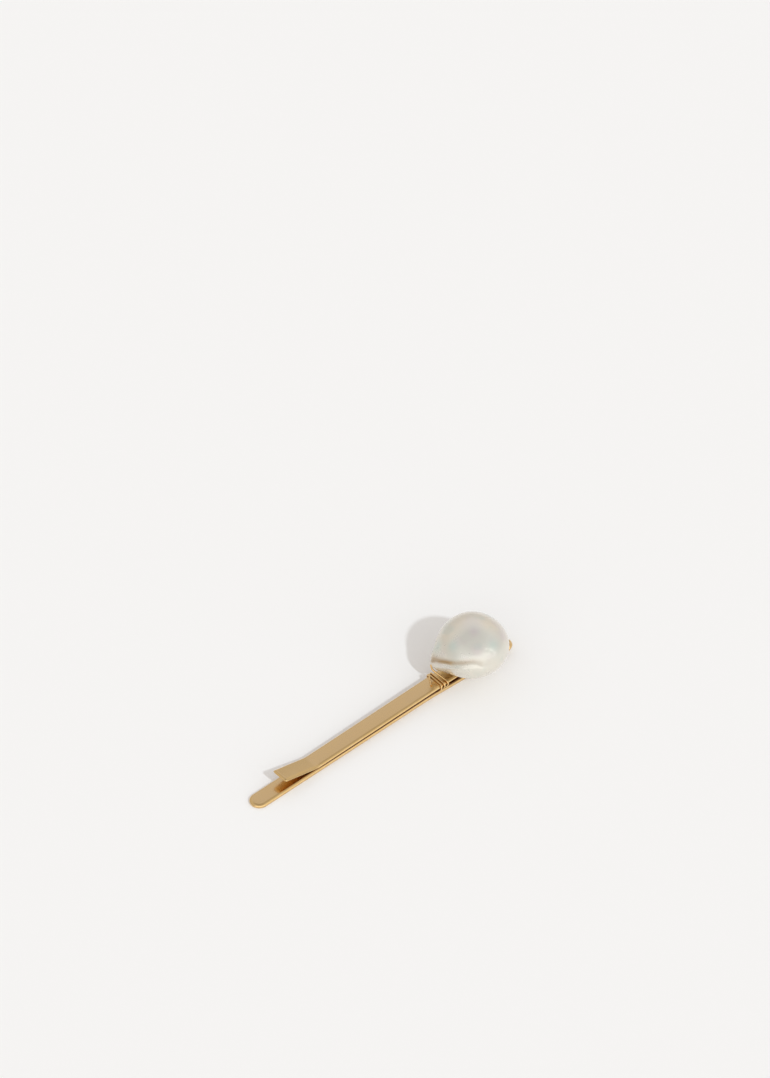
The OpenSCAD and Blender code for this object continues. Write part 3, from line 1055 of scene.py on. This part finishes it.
class HAIRPIN_OT_pearl(bpy.types.Operator):
    """Build the drilled baroque pearl"""

    bl_idname = "hairpin.pearl"
    bl_label = "Build Pearl"

    def execute(self, context):
        layout = Layout(context.scene)
        pearl = pearl_piece(layout, nacre_material(layout.pearl))
        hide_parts("pearl")
        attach(pearl, UPPER)
        return {"FINISHED"}


class HAIRPIN_OT_wire(bpy.types.Operator):
    """Build the wire that binds the pearl to the upper prong"""

    bl_idname = "hairpin.wire"
    bl_label = "Build Wire"

    def execute(self, context):
        layout = Layout(context.scene)
        gilt = gilt_material("Gilt Wire", layout.wire, layout.strip.worn_gold, (), WIRE_GRAIN)
        tree_parts = wire_tree()
        routes = wire_routes(layout)
        for name, route, node in (
            ("front_binding_wire", "front", "front_binding"),
            ("pearl_inner_wire", "inside", "pearl_wire"),
            ("rear_binding_wire", "rear", "rear_binding"),
        ):
            piece = wire_piece(name, routes[route], layout, tree_parts, gilt)
            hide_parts(node)
            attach(piece, UPPER)
        return {"FINISHED"}


class HAIRPIN_OT_stage(bpy.types.Operator):
    """Build the floor, the lights and the camera"""

    bl_idname = "hairpin.stage"
    bl_label = "Build Stage"

    def execute(self, context):
        scene = context.scene
        stage = scene.hairpin_stage
        build_floor(stage)
        build_lights(scene, stage)
        build_camera(scene, stage)
        scene.view_settings.view_transform = "Standard"
        return {"FINISHED"}


def build_floor(stage, size=3.0):
    """A wide pale floor just under the pin."""
    points = [(x * size, y * size, -0.00001) for x, y in ((-1, -1), (1, -1), (1, 1), (-1, 1))]
    material = bpy.data.materials.new("Pale Floor")
    material.use_nodes = True
    shader = material.node_tree.nodes["Principled BSDF"]
    shader.inputs["Base Color"].default_value = (*stage.floor_colour, 1)
    shader.inputs["Roughness"].default_value = 0.9
    shader.inputs["Specular IOR Level"].default_value = 0.1
    shader.inputs["Emission Color"].default_value = (*stage.glow_colour, 1)
    shader.inputs["Emission Strength"].default_value = stage.floor_glow
    new_object("floor", points, [(0, 1, 2, 3)], material)


NEAR_WALL = (-0.46, -0.89, 0.0)  # heading of the bright wall
FAR_SKY = (0.47, 0.53, 0.71)  # middle of the cooler part of the sky
KEY_AIM = (0.12, 1.06, -1.0)  # the way that the key light shines
CAMERA_TARGET = Vector((0.03129, 0.03553, 0.0))  # the point that the camera is aimed at


def build_sky(stage):
    """A soft studio round the pin: a bright near wall, a darker ceiling and a cool far side."""
    world = bpy.data.worlds.new("Soft Studio")
    world.use_nodes = True
    tree = world.node_tree
    ray = add(tree, "ShaderNodeTexCoord").outputs["Generated"]
    height = add(tree, "ShaderNodeSeparateXYZ", {"Vector": ray}).outputs["Z"]
    wall = smooth(tree, dot(tree, ray, NEAR_WALL), 0.24, 0.72)
    for low, high in ((0.02, 0.12), (0.72, 0.55)):
        wall = product(tree, wall, smooth(tree, height, low, high))
    light = sum_of(
        tree,
        (wall, stage.panel),
        (smooth(tree, height, 0.76, 0.93), -0.34 * stage.sky),
        (smooth(tree, height, 0.35, 0.62), 0.16 * stage.sky),
        (1.0, 0.86 * stage.sky),
    )
    cool = smooth(tree, dot(tree, ray, FAR_SKY), 0.90, 0.985)
    tint = mix_colour(tree, cool, (1, 0.99, 0.975, 1), (0.98, 1, 1.17, 1))
    background = tree.nodes["Background"]
    tree.links.new(tint, background.inputs["Color"])
    tree.links.new(light, background.inputs["Strength"])
    return world


def build_lights(scene, stage):
    """The studio's even light, and a key light from the near side of the pin."""
    scene.world = build_sky(stage)
    key = bpy.data.lights.new("Key", "SUN")
    key.energy, key.angle, key.color = stage.key, stage.key_spread, (0.93, 1.0, 1.06)
    key_object = bpy.data.objects.new("Key", key)
    scene.collection.objects.link(key_object)
    key_object.visible_glossy = False
    key_object.rotation_mode = "QUATERNION"
    key_object.rotation_quaternion = Vector(KEY_AIM).to_track_quat("-Z", "Y")


def build_camera(scene, stage):
    """A long lens that looks down on the pin from its near side."""
    a, e = stage.azimuth, stage.elevation
    ahead = Vector((math.sin(a) * math.cos(e), math.cos(a) * math.cos(e), -math.sin(e)))
    data = bpy.data.cameras.new("Camera")
    data.lens, data.sensor_width = stage.lens, 36
    data.clip_start, data.clip_end = 0.05, 20
    camera = bpy.data.objects.new("Camera", data)
    scene.collection.objects.link(camera)
    camera.rotation_mode = "QUATERNION"
    camera.location = CAMERA_TARGET - ahead * stage.distance
    camera.rotation_quaternion = ahead.to_track_quat("-Z", "Y")
    scene.camera = camera


# ---- Panel ----


class HAIRPIN_PT_panel(bpy.types.Panel):
    """Lists the hair pin's sizes and the steps that build it"""

    bl_idname = "HAIRPIN_PT_panel"
    bl_label = "Hair Pin"
    bl_space_type = "VIEW_3D"
    bl_region_type = "UI"
    bl_category = "Hair Pin"

    def draw(self, context):
        for name, operator in STEPS:
            group = getattr(context.scene, name)
            box = self.layout.box()
            for prop in group.bl_rna.properties:
                if prop.identifier not in {"rna_type", "name"}:
                    box.prop(group, prop.identifier)
            box.operator(operator.bl_idname)


GROUPS = {
    "hairpin_strip": HairPinStrip,
    "hairpin_pearl": HairPinPearl,
    "hairpin_wire": HairPinWire,
    "hairpin_stage": HairPinStage,
}
STEPS = (
    ("hairpin_strip", HAIRPIN_OT_strip),
    ("hairpin_pearl", HAIRPIN_OT_pearl),
    ("hairpin_wire", HAIRPIN_OT_wire),
    ("hairpin_stage", HAIRPIN_OT_stage),
)
CLASSES = (*GROUPS.values(), *(operator for _, operator in STEPS), HAIRPIN_PT_panel)


def register():
    for cls in CLASSES:
        bpy.utils.register_class(cls)
    for name, group in GROUPS.items():
        setattr(bpy.types.Scene, name, PointerProperty(type=group))


def unregister():
    for name in GROUPS:
        delattr(bpy.types.Scene, name)
    for cls in reversed(CLASSES):
        bpy.utils.unregister_class(cls)


def main():
    """Builds the whole pin."""
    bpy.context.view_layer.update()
    register()
    bpy.ops.hairpin.strip()
    bpy.ops.hairpin.pearl()
    bpy.ops.hairpin.wire()
    bpy.ops.hairpin.stage()


if __name__ == "__main__":
    main()
